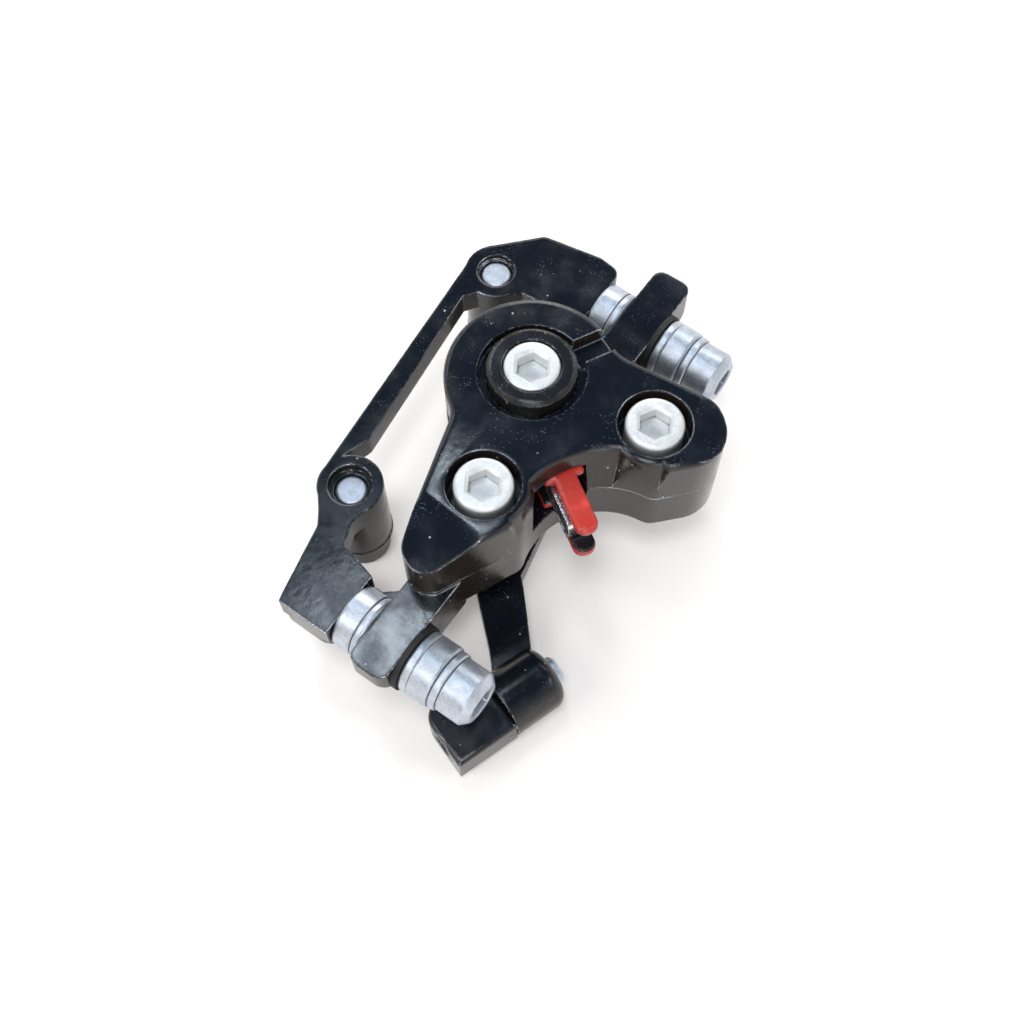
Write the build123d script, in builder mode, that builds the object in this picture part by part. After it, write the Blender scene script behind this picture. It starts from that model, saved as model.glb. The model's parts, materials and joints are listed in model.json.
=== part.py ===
from build123d import *
import os
from math import ceil, cos, pi, radians, sin, sqrt, tan

# Mechanical disc brake caliper on its adapter bracket, millimetres.
# The origin is on the piston axis at the rotor's mid plane. +Z points to the wheel,
# +X runs along the two post bolts towards their heads, +Y from the lower to the upper bolt.
# The body's own plane has u from the piston axis to the pad tabs and v square to it.

# Driving dimensions
post_pitch = 74.2
post_row_y = -10.85
post_axis_z = -7.2
ear_face_x = 2.4
ear_thickness = 7.4
adapter_face_x = -3.0
is_pitch = 51.0
is_row_x = -19.4
is_row_y = -5.25
is_row_tilt = 6.3
adapter_near_z = -2.9
pad_axis_turn = -33.0
body_bolt_reach = 16.8
body_bolt_pitch = 30.4
near_face_z = 9.0
seam_z = -1.6
outer_floor_z = -14.0
pivot_floor_z = -16.2
arm_top_z = -20.2
arm_reach_x = 26.0
arm_reach_y = -38.0
clamp_axis_turn = 71.0
arm_swing = 16.0

# Fits
overrun = 1.0
thread_gap = 0.05
running_gap = 0.06
seat_gap = 0.02
turns_gap = 0.15

# Fasteners
m6_radius = 3.0
m6_head_radius = 5.0
m6_head_height = 6.0
m6_hex_flat = 5.0
hex_depth = 3.0
head_dome = 0.8
tip_chamfer = 0.5
post_head_chamfer = 1.3
m5_radius = 2.5
m5_hex_flat = 4.0
washer_break = 0.35

# Rotor and pads
rotor_half = 0.925
rotor_gap = 0.3
lining_thickness = 2.0
backing_thickness = 1.8
pad_radius = 10.4
lining_radius = 9.9
pad_neck_width = 7.2
pad_neck_reach = 18.6
tab_width = 4.0
tab_reach = 29.3
tab_offset = -1.5
tab_round = 1.8
pocket_gap = 0.35
lining_face_z = rotor_half + rotor_gap
backing_face_z = lining_face_z + lining_thickness
pad_back_z = backing_face_z + backing_thickness
turn = radians(pad_axis_turn)


def pad_plane(height):
    """Plane of the body, its x running from the piston axis to the pad tabs."""
    return Plane(origin=(0, 0, height), x_dir=(cos(turn), sin(turn), 0), z_dir=(0, 0, 1))


def along_x(x, y, z):
    """Plane square to X, its own x along Y."""
    return Plane(origin=(x, y, z), x_dir=(0, 1, 0), z_dir=(1, 0, 0))


def facing_down(x, y, z):
    return Plane(origin=(x, y, z), x_dir=(1, 0, 0), z_dir=(0, 0, -1))


def rings(planes, outer, thickness, inner):
    """Discs that stand on planes, each with a bore where inner is over zero."""
    with BuildPart() as discs:
        for plane in planes:
            with BuildSketch(plane):
                Circle(outer)
                if inner > 0:
                    Circle(inner, mode=Mode.SUBTRACT)
            extrude(amount=thickness)
    return discs


def end_cut(face_x, thickness, end_y, low_z, depth):
    """Wedge that takes the lower corner off a block's end, the end nearer to its own side."""
    out = overrun if end_y > 0 else -overrun
    inward = -depth if end_y > 0 else depth
    with BuildPart() as wedge:
        with BuildSketch(along_x(face_x - overrun, 0, 0)):
            with BuildLine():
                Polyline(
                    (end_y + inward, low_z),
                    (end_y, low_z + depth),
                    (end_y + out, low_z + depth),
                    (end_y + out, low_z - overrun),
                    (end_y + inward, low_z - overrun),
                    close=True,
                )
            make_face()
        extrude(amount=thickness + 2 * overrun)
    return wedge


def socket_bolts(seats, lengths, coned):
    """Socket head cap screws, each under a seat whose z points to its head."""
    with BuildPart() as bolts:
        for seat, length in zip(seats, lengths):
            way = Axis(seat.origin, seat.z_dir)
            with BuildSketch(seat):
                Circle(m6_head_radius)
            extrude(amount=m6_head_height)
            if coned:
                chamfer(bolts.edges(Select.LAST).sort_by(way)[-1], post_head_chamfer)
            else:
                fillet(bolts.edges(Select.LAST).sort_by(way)[-1], head_dome)
            with BuildSketch(seat):
                Circle(m6_radius)
            extrude(amount=-length)
            chamfer(bolts.edges(Select.LAST).sort_by(way)[0], tip_chamfer)
            with BuildSketch(seat.offset(m6_head_height)):
                RegularPolygon(radius=m6_hex_flat / 2, side_count=6, major_radius=False)
            extrude(amount=-hex_depth, mode=Mode.SUBTRACT)
    return bolts


# Post bolt stations
bolt_y = (post_row_y - post_pitch / 2, post_row_y + post_pitch / 2)
ear_back_x = ear_face_x + ear_thickness
washer_radius = 5.7
washer_bore = 3.5
ring_thickness = 1.0
ring_radius = 6.1
concave_thickness = 3.2
convex_thickness = 2.6
cup_radius = 9.0
cup_rise = 1.1
flat_thickness = 1.4
flat_radius = 5.4
adapter_stack = ear_face_x - adapter_face_x
adapter_share = adapter_stack / (concave_thickness + convex_thickness)
head_convex_x = ear_back_x + ring_thickness
flat_x = head_convex_x + convex_thickness + concave_thickness
head_x = flat_x + flat_thickness
post_bolt_length = 30.0

# Ears on the outer half
ear_near_z = -2.5
ear_far_z = -13.4
ear_low_reach = 7.6
ear_high_reach = 11.4
ear_low_root = 16.0
ear_high_root = 27.0
ear_round = 2.0
ear_end_cut = 6.5
slot_width = 6.6
slot_length = 8.0

# Outline of both halves in the body's plane
lobe_radius = 15.0
lobe_end = 27.9
lobe_half_width = 26.9
tip_half_width = 31.6
mouth_centre = 33.1
mouth_radius = 16.0
mouth_draft = 9.4
mouth_round = 3.3
outer_corner_round = 7.4
shoulder_round = 5.0
tip_round = 3.8
waist_round = 6.0
near_edge_round = 1.1
bolt_boss_radius = 7.5
crease_turn = 60.9
crease_reach = 28.3
crease_slope = 14.0
waist_share = 0.9
low_tip_shares = ((0.775, -1.0), (1.0, -0.965))
high_tip_shares = ((1.0, 1.0), (0.59, 0.99))
lip_shares = (-0.59, 0.67)

# Rotor slot, pad pocket and tab window
slot_low_z = -2.1
slot_high_z = 2.2
rotor_radius = 80.0
rotor_edge_gap = 1.8
pad_track_radius = 71.0
pocket_z = pad_back_z + pocket_gap
window_low = -8.4
window_high = 2.6
window_reach = 14.0

# Body bolts and the recesses in the near face
bolt_proud = 0.3
head_recess = 6.3
body_bolt_length = 15.0
notch_turn = 62.0
notch_width = 4.6
notch_depth = 3.2

# Fixed pad adjuster
adjuster_radius = 7.7
adjuster_rim = 9.3
rim_depth = 2.0
adjuster_top_z = 11.0
adjuster_edge = 0.7
screw_seat_z = 6.6
screw_hub_radius = 3.4
ring_groove_z = 5.7
ring_wire = 0.8

# Ball ramp drive
chamber_radius = 9.6
foot_radius = 8.6
foot_thickness = 2.2
thrust_gap = 0.05
flange_radius = 9.0
flange_thickness = 2.4
shaft_radius = 4.0
ball_radius = 1.75
ball_circle = 6.5
ball_count = 3
ball_bite = 1.1
track_gap = 0.12
cage_thickness = 0.8
race_thickness = 2.5
pad_travel = 0.45
ramp_steps = 6
pivot_radius = 12.4
neck_radius = 6.4
seal_radius = 5.4
seal_depth = 1.6

# Return spring round the neck
spring_wire = 1.2
spring_radius = 8.2
spring_pitch = 1.65
spring_turns = 1.5
spring_leg = 5.0
spring_start_turn = 100.0

# Brake arm and cable clamp
arm_thickness = 3.8
arm_hub_radius = 8.6
arm_bend_x = 10.0
arm_bend_y = -24.4
arm_bend_half = 4.3
arm_neck_x = 19.3
arm_neck_y = -33.7
arm_neck_half = 3.7
arm_neck_round = 3.0
arm_washer_thickness = 0.6
arm_screw_radius = 5.2
arm_screw_head = 1.6
boss_radius = 5.8
boss_back = 5.8
boss_front = 4.9
boss_round = 2.4
block_width = 11.9
block_depth = 12.0
block_height = 7.0
block_shift = -0.55
block_round = 3.6
block_edge = 0.9
tip_stand = 1.5
clamp_head_radius = 3.1
clamp_head_depth = 3.0
cable_bore = 0.9

# Cable housing stop
stop_x = -4.5
stop_length = 6.0
stop_y = -43.9
stop_radius = 5.4
stop_axis_z = -20.6
barrel_radius = 4.0
barrel_bore = 2.6
barrel_socket = 8.0
barrel_reach = 1.0
locknut_thickness = 2.4
locknut_flat = 9.6
knob_radius = 4.8
knob_length = 4.6
knob_gap = 0.4
knob_ribs = 12
rib_radius = 0.5
web_top_z = -15.2
web_post_width = 4.4
web_low_z = -19.0

# Adapter bracket
adapter_plate_depth = 5.0
adapter_boss_radius = 5.8
upper_block_depth = 13.6
lower_block_depth = 11.4
lower_block_half = 6.2
upper_block_half = 6.9
adapter_corner = 2.2
plate_bend_round = 2.5
lower_block_cut = 4.5
recess_radii = (3.9, 3.5)
recess_depths = (1.9, 1.0)
is_washer_radius = 5.9
is_washer_thickness = 0.9

# Lowest points, where the caliper lies on a table
arm_low_z = arm_top_z - arm_thickness
table_z = arm_low_z - arm_washer_thickness - arm_screw_head
neck_end_z = arm_top_z + pad_travel + turns_gap
boss_far_z = table_z + m6_head_height + is_washer_thickness
boss_axis_z = table_z + boss_radius

# Adapter bracket: a thin bar joins two deep bosses, each beside a post bolt block
tilt = radians(is_row_tilt)
is_low = (is_row_x + sin(tilt) * is_pitch / 2, is_row_y - cos(tilt) * is_pitch / 2)
is_high = (is_row_x - sin(tilt) * is_pitch / 2, is_row_y + cos(tilt) * is_pitch / 2)
is_spots = (is_low, is_high)
boss_depth = adapter_near_z - boss_far_z
post_hole_depth = post_bolt_length - (head_x - adapter_face_x) + overrun


draft_slope = tan(radians(mouth_draft))
seam_mouth_radius = mouth_radius - (near_face_z - seam_z) * draft_slope
mouth_floor = mouth_centre - seam_mouth_radius


def shares_of(origin, size, shares):
    """Outline points at shares of a size from an origin."""
    return [(origin[0] + x * size, origin[1] + y * size) for x, y in shares]


bar_low_shares = ((-0.99, 0.0), (-0.5, 1.52))
bar_high_shares = ((-0.29, -1.41), (0.0, -1.0))
neck_outer_shares = ((-0.78, -0.58), (-0.24, -1.2), (0.05, -1.6))
neck_inner_shares = ((0.98, -1.38), (0.81, -0.96), (0.9, -0.2))
upper_top_shares = ((0.0, -1.0), (0.0, 1.0), (-0.7, 1.09), (-2.35, 0.8))
upper_side_shares = ((-0.80, 0.60), (-0.97, 0.0), (-0.2, -0.98), (0.55, -0.8), (1.2, -0.22))
lower_block_shares = ((0.0, -1.0), (0.0, 1.0), (-1.25, 1.3), (-1.84, 0.6), (-1.68, -0.7), (-1.6, -1.0))

with BuildPart() as adapter_bracket:
    with BuildSketch(Plane.XY.offset(adapter_near_z)) as plate_plan:
        with BuildLine():
            low_side = shares_of(is_low, adapter_boss_radius, bar_low_shares)
            high_side = shares_of(is_high, adapter_boss_radius, bar_high_shares)
            outer_top = (is_high[0] - adapter_boss_radius * 0.97, is_high[1])
            Polyline(outer_top, *low_side, *high_side, close=True)
        make_face()
        with BuildLine():
            outer_neck = shares_of(is_low, adapter_boss_radius, neck_outer_shares)
            inner_neck = shares_of(is_low, adapter_boss_radius, neck_inner_shares)
            block_side = shares_of((adapter_face_x, bolt_y[0]), lower_block_half, lower_block_shares[2:5])
            Polyline(*outer_neck, *reversed(block_side), *inner_neck, close=True)
        make_face()
        with BuildLine():
            Polyline(*shares_of((adapter_face_x, bolt_y[0]), lower_block_half, lower_block_shares), close=True)
        make_face()
        with Locations(*is_spots):
            Circle(adapter_boss_radius)
        for bend in (outer_neck[2], low_side[1]):
            fillet(plate_plan.vertices().sort_by_distance(bend)[0], plate_bend_round)
    extrude(amount=-adapter_plate_depth)
    with BuildSketch(Plane.XY.offset(adapter_near_z)):
        with Locations(*is_spots):
            Circle(adapter_boss_radius)
    extrude(amount=-boss_depth)
    with BuildSketch(Plane.XY.offset(adapter_near_z)) as upper_block:
        with BuildLine():
            face_side = shares_of((adapter_face_x, bolt_y[1]), upper_block_half, upper_top_shares)
            boss_side = shares_of(is_high, adapter_boss_radius, upper_side_shares)
            Polyline(*face_side, *boss_side, close=True)
        make_face()
        fillet(upper_block.vertices().sort_by(Axis.Y)[-3:], adapter_corner)
    extrude(amount=-upper_block_depth)
    with BuildSketch(Plane.XY.offset(adapter_near_z)) as lower_block:
        with BuildLine():
            Polyline(*shares_of((adapter_face_x, bolt_y[0]), lower_block_half, lower_block_shares), close=True)
        make_face()
        fillet(lower_block.vertices().sort_by(Axis.Y)[0:2], adapter_corner)
    extrude(amount=-lower_block_depth)
    low_end_y = bolt_y[0] - lower_block_half
    low_end_z = adapter_near_z - lower_block_depth
    block_end_x = adapter_face_x - 2 * lower_block_half
    add(end_cut(block_end_x, 2 * lower_block_half, low_end_y, low_end_z, lower_block_cut).part, mode=Mode.SUBTRACT)
    for spot, radius, depth in zip(is_spots, recess_radii, recess_depths):
        with BuildSketch(Plane.XY.offset(adapter_near_z)):
            with Locations(spot):
                Circle(radius)
        extrude(amount=-depth, mode=Mode.SUBTRACT)
    with BuildSketch(Plane.XY.offset(adapter_near_z)):
        with Locations(*is_spots):
            Circle(m6_radius + thread_gap)
    extrude(amount=-boss_depth - overrun, mode=Mode.SUBTRACT)
    with BuildSketch(along_x(adapter_face_x, 0, post_axis_z)):
        with Locations(*[(y, 0) for y in bolt_y]):
            Circle(m6_radius + thread_gap)
    extrude(amount=-post_hole_depth, mode=Mode.SUBTRACT)
adapter_bracket.part.label = "adapter_bracket"

# Mounting bolts of the bracket, their heads below it
is_seats = [facing_down(x, y, boss_far_z - is_washer_thickness) for x, y in is_spots]
is_lengths = [boss_depth + is_washer_thickness - depth - seat_gap for depth in recess_depths]
is_bolts = socket_bolts(is_seats, is_lengths, False)
is_bolts.part.label = "is_bolts"
is_faces = [facing_down(x, y, boss_far_z) for x, y in is_spots]
is_washers = rings(is_faces, is_washer_radius, is_washer_thickness, m6_radius + turns_gap)
is_washers.part.label = "is_washers"


def body_outline(height):
    """Three-lobed outline of both halves, on the body's plane at a height."""
    low_tip = [(lobe_end * u, tip_half_width * v) for u, v in low_tip_shares]
    high_tip = [(lobe_end * u, lobe_half_width * v) for u, v in high_tip_shares]
    lip_u = mouth_centre + seam_mouth_radius * lip_shares[0]
    lip_v = seam_mouth_radius * lip_shares[1]
    waist = lobe_radius * waist_share
    rounds = ((low_tip[0], tip_round), (low_tip[1], tip_round),
              (high_tip[0], outer_corner_round), (high_tip[1], shoulder_round))
    with BuildSketch(pad_plane(height)) as outline:
        with BuildLine():
            Polyline((0, -waist), *low_tip, (lip_u, -lip_v), (lip_u, lip_v), *high_tip, (0, waist), close=True)
        make_face()
        for corner, radius in rounds:
            fillet(outline.vertices().sort_by_distance(corner)[0], radius)
        with Locations((mouth_centre, 0)):
            Circle(seam_mouth_radius, mode=Mode.SUBTRACT)
        fillet(corners_at(outline, mouth_centre, seam_mouth_radius), mouth_round)
        Circle(lobe_radius)
        fillet(corners_at(outline, 0, lobe_radius), waist_round)
    return outline.sketch


def corners_at(outline, centre_u, radius):
    """The two corners where an outline leaves a circle."""
    return sorted(outline.vertices(), key=lambda v: abs(sqrt((v.X - centre_u) ** 2 + v.Y ** 2) - radius))[0:2]


# Space of the rotor, its pads and their tabs, cut from both halves
with BuildPart() as swept_space:
    with BuildSketch(pad_plane(slot_low_z)):
        with Locations((-pad_track_radius, 0)):
            Circle(rotor_radius + rotor_edge_gap)
    extrude(amount=slot_high_z - slot_low_z)
    with BuildSketch(pad_plane(-pocket_z)):
        Circle(pad_radius + pocket_gap)
        with Locations((pad_neck_reach / 2, tab_offset)):
            Rectangle(pad_neck_reach, pad_neck_width + 2 * pocket_gap)
        with Locations((mouth_floor, (window_low + window_high) / 2)):
            Rectangle(window_reach, window_high - window_low)
    extrude(amount=2 * pocket_z)

bolt_spots = ((body_bolt_reach, -body_bolt_pitch / 2), (body_bolt_reach, body_bolt_pitch / 2))
head_floor_z = near_face_z + bolt_proud - m6_head_height
notch_side = radians(notch_turn)
notch_plane = Plane(origin=(0, 0, near_face_z), x_dir=(cos(notch_side), sin(notch_side), 0), z_dir=(0, 0, 1))

# The inner half's mouth widens towards the near face, except round the two bolts
draft_height = near_face_z - seam_z + overrun
draft_rise = draft_height * draft_slope
draft_plane = pad_plane(seam_z + draft_height / 2)
with BuildPart(draft_plane) as mouth_space:
    with Locations((mouth_centre, 0, 0)):
        Cone(seam_mouth_radius, seam_mouth_radius + draft_rise, draft_height)
    with Locations(*[(u, v, 0) for u, v in bolt_spots]):
        Cone(bolt_boss_radius + draft_rise, bolt_boss_radius, draft_height, mode=Mode.SUBTRACT)

with BuildPart() as inner_body_half:
    add(body_outline(seam_z))
    extrude(amount=near_face_z - seam_z)
    add(mouth_space.part, mode=Mode.SUBTRACT)
    fillet(inner_body_half.faces().sort_by(Axis.Z)[-1].outer_wire().edges(), near_edge_round)
    for side in (1, -1):
        out_turn = turn + side * radians(crease_turn)
        out_way = Vector(cos(out_turn), sin(out_turn), 0)
        slope_way = out_way * cos(radians(crease_slope)) - Vector(0, 0, sin(radians(crease_slope)))
        slope_normal = out_way * sin(radians(crease_slope)) + Vector(0, 0, cos(radians(crease_slope)))
        crease = out_way * crease_reach + Vector(0, 0, near_face_z)
        with BuildSketch(Plane(origin=crease, x_dir=slope_way, z_dir=slope_normal)):
            with Locations((crease_reach / 2, 0)):
                Rectangle(crease_reach, 2 * crease_reach)
        extrude(amount=crease_reach, mode=Mode.SUBTRACT)
    add(swept_space.part, mode=Mode.SUBTRACT)
    with BuildSketch(pad_plane(near_face_z)):
        with Locations(*bolt_spots):
            Circle(head_recess)
    extrude(amount=head_floor_z - near_face_z, mode=Mode.SUBTRACT)
    with BuildSketch(pad_plane(near_face_z)):
        with Locations(*bolt_spots):
            Circle(m6_radius + thread_gap)
        Circle(adjuster_radius + running_gap)
    extrude(amount=seam_z - near_face_z - overrun, mode=Mode.SUBTRACT)
    with BuildSketch(Plane.XY.offset(near_face_z)):
        Circle(adjuster_rim)
    extrude(amount=-rim_depth, mode=Mode.SUBTRACT)
    with BuildSketch(notch_plane):
        with Locations((lobe_radius, 0)):
            Rectangle(2 * (lobe_radius - adjuster_rim + overrun), notch_width)
    extrude(amount=-notch_depth, mode=Mode.SUBTRACT)
inner_body_half.part.label = "inner_body_half"

# Levels of the drive below the moving pad
foot_low_z = -pad_back_z - foot_thickness
flange_top_z = foot_low_z - thrust_gap
flange_low_z = flange_top_z - flange_thickness
ball_z = flange_low_z - ball_radius + ball_bite
race_top_z = ball_z - ball_radius + ball_bite
race_low_z = race_top_z - race_thickness
floor_taper = 2.8
ear_shapes = ((bolt_y[0] - ear_low_reach, bolt_y[0] + ear_low_root),
              (bolt_y[1] - ear_high_root, bolt_y[1] + ear_high_reach))
ear_mid_x = (ear_face_x + ear_back_x) / 2
web_side_shares = ((0.0, 0.0), (0.0, 0.66), (0.65, 1.2), (0.9, 2.0), (2.1, 2.0), (2.1, 0.75), (1.1, 0.0))

with BuildPart() as outer_body_half:
    add(body_outline(seam_z))
    extrude(amount=outer_floor_z - seam_z)
    chamfer(outer_body_half.faces().sort_by(Axis.Z)[0].outer_wire().edges(), floor_taper)
    for low_y, high_y in ear_shapes:
        with BuildSketch(Plane.XY.offset(ear_far_z)):
            with Locations((ear_mid_x, (low_y + high_y) / 2)):
                RectangleRounded(ear_thickness, high_y - low_y, ear_round)
        extrude(amount=ear_near_z - ear_far_z)
    for end_y in (ear_shapes[0][0], ear_shapes[1][1]):
        add(end_cut(ear_face_x, ear_thickness, end_y, ear_far_z, ear_end_cut).part, mode=Mode.SUBTRACT)
    with BuildSketch(Plane.XY.offset(pivot_floor_z)):
        Circle(pivot_radius)
    extrude(amount=outer_floor_z + floor_taper - pivot_floor_z)
    with BuildSketch(Plane.XY.offset(neck_end_z)):
        Circle(neck_radius)
    extrude(amount=outer_floor_z - neck_end_z)
    with BuildSketch(Plane.XY.offset(web_low_z)):
        with BuildLine():
            Polyline(*shares_of((stop_x, stop_y), stop_radius, web_side_shares), close=True)
        make_face()
    extrude(amount=web_top_z - web_low_z)
    with BuildSketch(Plane.XY.offset(web_low_z)):
        with Locations((ear_face_x + web_post_width / 2, stop_y + stop_radius * 1.5)):
            Rectangle(web_post_width, stop_radius * 1.5)
    extrude(amount=outer_floor_z + overrun - web_low_z)
    with BuildSketch(along_x(stop_x, stop_y, stop_axis_z)):
        Circle(stop_radius)
    extrude(amount=stop_length)
    add(swept_space.part, mode=Mode.SUBTRACT)
    with BuildSketch(Plane.XY.offset(race_low_z)):
        Circle(chamber_radius)
    extrude(amount=-race_low_z, mode=Mode.SUBTRACT)
    with BuildSketch(Plane.XY.offset(neck_end_z)):
        Circle(shaft_radius + running_gap)
    extrude(amount=-neck_end_z, mode=Mode.SUBTRACT)
    with BuildSketch(Plane.XY.offset(neck_end_z)):
        Circle(seal_radius)
    extrude(amount=seal_depth, mode=Mode.SUBTRACT)
    with BuildSketch(pad_plane(seam_z)):
        with Locations(*bolt_spots):
            Circle(m6_radius + thread_gap)
    extrude(amount=head_floor_z - body_bolt_length - seam_z - overrun, mode=Mode.SUBTRACT)
    with BuildSketch(along_x(adapter_face_x, 0, post_axis_z)):
        with Locations(*[(y, 0) for y in bolt_y]):
            Circle(washer_radius + pocket_gap)
    extrude(amount=adapter_stack, mode=Mode.SUBTRACT)
    with BuildSketch(along_x(ear_face_x - overrun, 0, post_axis_z)):
        with Locations(*[(y, 0) for y in bolt_y]):
            SlotOverall(slot_length, slot_width, rotation=90)
    extrude(amount=ear_thickness + 2 * overrun, mode=Mode.SUBTRACT)
    with BuildSketch(along_x(stop_x - overrun, stop_y, stop_axis_z)):
        Circle(barrel_radius + running_gap)
    extrude(amount=stop_length + 2 * overrun, mode=Mode.SUBTRACT)
outer_body_half.part.label = "outer_body_half"

# Bolts that join the halves, and the post bolts
body_seats = [Plane(origin=pad_plane(head_floor_z).from_local_coords((u, v, 0)), z_dir=(0, 0, 1))
              for u, v in bolt_spots]
body_bolts = socket_bolts(body_seats, (body_bolt_length, body_bolt_length), False)
body_bolts.part.label = "body_bolts"
post_seats = [along_x(head_x, y, post_axis_z) for y in bolt_y]
post_bolts = socket_bolts(post_seats, (post_bolt_length, post_bolt_length), True)
post_bolts.part.label = "post_bolts"


def dished_washers(start_x, convex, concave, convex_first, make_convex):
    """Convex or concave washers of a pair that shares one sphere.

    The pair starts at start_x, and its convex one lies first or last along X."""
    total = convex + concave
    side = 1 if convex_first else -1
    flat_side_x = start_x if convex_first else start_x + total
    ball_x = flat_side_x + side * (convex + cup_rise - cup_radius)
    with BuildPart() as washers:
        for y in bolt_y:
            with BuildSketch(Plane(origin=(0, y, post_axis_z), x_dir=(1, 0, 0), z_dir=(0, -1, 0))) as profile:
                with Locations((start_x + total / 2, (washer_bore + washer_radius) / 2)):
                    Rectangle(total, washer_radius - washer_bore)
                chamfer(profile.vertices().group_by(Axis.Y)[-1], washer_break)
                with Locations((ball_x, 0)):
                    if make_convex:
                        Circle(cup_radius - thread_gap, mode=Mode.INTERSECT)
                    else:
                        Circle(cup_radius, mode=Mode.SUBTRACT)
            revolve(axis=Axis((0, y, post_axis_z), (1, 0, 0)))
    return washers


head_convex_washers = dished_washers(head_convex_x, convex_thickness, concave_thickness, True, True)
head_convex_washers.part.label = "head_convex_washers"
head_concave_washers = dished_washers(head_convex_x, convex_thickness, concave_thickness, True, False)
head_concave_washers.part.label = "head_concave_washers"
adapter_convex = convex_thickness * adapter_share
adapter_concave = concave_thickness * adapter_share
adapter_convex_washers = dished_washers(adapter_face_x, adapter_convex, adapter_concave, False, True)
adapter_convex_washers.part.label = "adapter_convex_washers"
adapter_concave_washers = dished_washers(adapter_face_x, adapter_convex, adapter_concave, False, False)
adapter_concave_washers.part.label = "adapter_concave_washers"
ear_planes = [along_x(ear_back_x, y, post_axis_z) for y in bolt_y]
ear_rings = rings(ear_planes, ring_radius, ring_thickness, washer_bore)
ear_rings.part.label = "ear_rings"
flat_planes = [along_x(flat_x, y, post_axis_z) for y in bolt_y]
flat_washers = rings(flat_planes, flat_radius, flat_thickness, m6_radius + turns_gap)
flat_washers.part.label = "flat_washers"


def pad_backing(low_z):
    """Steel backing plate with its neck and its long tab."""
    with BuildPart() as plate:
        with BuildSketch(pad_plane(low_z)):
            Circle(pad_radius)
            with Locations((pad_neck_reach / 2, tab_offset)):
                Rectangle(pad_neck_reach, pad_neck_width)
            with Locations((tab_reach / 2, tab_offset)):
                RectangleRounded(tab_reach, tab_width, tab_round)
        extrude(amount=backing_thickness)
    return plate


inner_pad_backing = pad_backing(backing_face_z)
inner_pad_backing.part.label = "inner_pad_backing"
outer_pad_backing = pad_backing(-pad_back_z)
outer_pad_backing.part.label = "outer_pad_backing"
inner_pad_lining = rings([Plane.XY.offset(lining_face_z)], lining_radius, lining_thickness, 0)
inner_pad_lining.part.label = "inner_pad_lining"
outer_pad_lining = rings([Plane.XY.offset(-backing_face_z)], lining_radius, lining_thickness, 0)
outer_pad_lining.part.label = "outer_pad_lining"

# Spreader spring: two leaves joined past the rotor's edge
leaf_thickness = 0.4
leaf_width = 5.0
leaf_start = 11.8
leaf_end = 26.2
leaf_high_z = 2.3
leaf_low_z = -2.7
leaf_round = 1.0
leaf_plane = Plane(origin=(0, 0, 0), x_dir=(cos(turn), sin(turn), 0), z_dir=(sin(turn), -cos(turn), 0))
with BuildPart() as pad_spring:
    with BuildSketch(leaf_plane.offset(-tab_offset)) as leaf:
        with Locations(((leaf_start + leaf_end) / 2, (leaf_high_z + leaf_low_z) / 2)):
            Rectangle(leaf_end - leaf_start, leaf_high_z - leaf_low_z)
        fillet(leaf.vertices().group_by(Axis.X)[-1], leaf_round)
        with Locations(((leaf_start + leaf_end) / 2 - leaf_thickness, (leaf_high_z + leaf_low_z) / 2)):
            Rectangle(leaf_end - leaf_start, leaf_high_z - leaf_low_z - 2 * leaf_thickness, mode=Mode.SUBTRACT)
    extrude(amount=leaf_width / 2, both=True)
pad_spring.part.label = "pad_spring"

# Fixed pad adjuster: a threaded disc with a pressed-in socket screw and a grip ring
with BuildPart() as adjuster_disc:
    with BuildSketch(Plane.XY.offset(pad_back_z)):
        Circle(adjuster_radius)
    extrude(amount=adjuster_top_z - pad_back_z)
    chamfer(adjuster_disc.faces().sort_by(Axis.Z)[-1].edges(), adjuster_edge)
    with BuildSketch(Plane.XY.offset(screw_seat_z)):
        Circle(m6_head_radius + thread_gap)
    extrude(amount=adjuster_top_z - screw_seat_z, mode=Mode.SUBTRACT)
    with BuildSketch(Plane.XY.offset(pad_back_z)):
        Circle(screw_hub_radius + thread_gap)
    extrude(amount=screw_seat_z - pad_back_z, mode=Mode.SUBTRACT)
    with BuildSketch(Plane.XY.offset(ring_groove_z)):
        Circle(adjuster_radius + overrun)
        Circle(adjuster_radius - ring_wire, mode=Mode.SUBTRACT)
    extrude(amount=ring_wire, mode=Mode.SUBTRACT)
adjuster_disc.part.label = "adjuster_disc"

with BuildPart() as adjuster_screw:
    with BuildSketch(Plane.XY.offset(screw_seat_z + seat_gap)):
        Circle(m6_head_radius)
    extrude(amount=adjuster_top_z - screw_seat_z - seat_gap)
    fillet(adjuster_screw.edges().sort_by(Axis.Z)[-1], head_dome)
    with BuildSketch(Plane.XY.offset(pad_back_z)):
        Circle(screw_hub_radius)
    extrude(amount=screw_seat_z + seat_gap - pad_back_z)
    with BuildSketch(Plane.XY.offset(adjuster_top_z)):
        RegularPolygon(radius=m6_hex_flat / 2, side_count=6, major_radius=False)
    extrude(amount=-hex_depth, mode=Mode.SUBTRACT)
adjuster_screw.part.label = "adjuster_screw"

grip_plane = Plane.XY.offset(ring_groove_z + seat_gap)
grip_inner = adjuster_radius - ring_wire + seat_gap
adjuster_ring = rings([grip_plane], adjuster_radius - seat_gap, ring_wire - 2 * seat_gap, grip_inner)
adjuster_ring.part.label = "adjuster_ring"

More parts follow.
